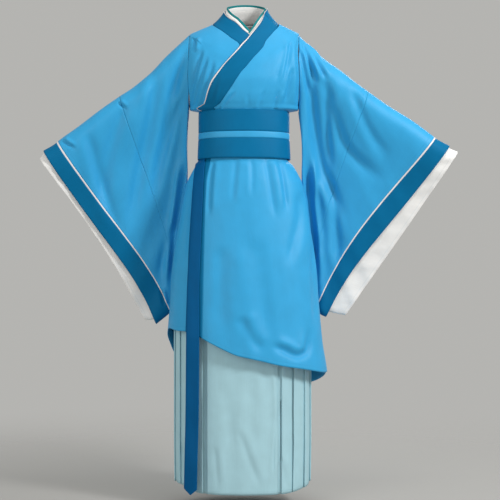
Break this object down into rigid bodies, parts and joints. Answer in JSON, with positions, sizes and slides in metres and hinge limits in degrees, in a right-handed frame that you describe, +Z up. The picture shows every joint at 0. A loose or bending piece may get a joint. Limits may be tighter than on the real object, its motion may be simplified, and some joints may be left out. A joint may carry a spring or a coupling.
{
  "type": "chinese opera costume",
  "caption": "Wide-sleeved cross-collar robe over a white inner robe, with a broad belt, a hanging pointed ribbon and a long pleated skirt, filled out as worn.",
  "frame": {"origin": "centre of the neck at the height of the shoulder seam's inner end, where the wearer's shoulders hold the robe up", "axes": "+Z up, -Y the costume's front, +X the wearer's left"},
  "size_m": [1.1911, 0.315, 1.3827],
  "materials": {
    "robe_blue": "satin",
    "band_blue": "satin",
    "ribbon_blue": "satin",
    "belt_blue": "satin",
    "stripe_blue": "satin",
    "white": "matte",
    "piping_white": "satin",
    "teal": "satin",
    "aqua": "satin"
  },
  "bodies": {
    "root": {"robe_front_left": "robe_blue", "robe_front_right": "robe_blue", "robe_back": "robe_blue", "collar_band": "band_blue", "collar_piping": "piping_white", "front_edge_band": "band_blue", "sleeve_upper_right": "robe_blue", "sleeve_wing_right": "robe_blue", "cuff_piping_right": "piping_white", "cuff_band_right": "band_blue", "sleeve_upper_left": "robe_blue", "sleeve_wing_left": "robe_blue", "cuff_piping_left": "piping_white", "cuff_band_left": "band_blue", "inner_front": "white", "inner_back": "white", "inner_collar": "white", "inner_collar_edge": "teal", "inner_sleeve_upper_right": "white", "inner_sleeve_wing_right": "white", "inner_sleeve_upper_left": "white", "inner_sleeve_wing_left": "white", "belt_upper": "belt_blue", "belt_stripe": "stripe_blue", "belt_lower": "belt_blue", "streamer": "ribbon_blue", "skirt_waistband": "aqua", "skirt_front": "aqua", "skirt_back": "aqua", "skirt_side_left": "aqua", "skirt_side_right": "aqua"}
  },
  "joints": []
}
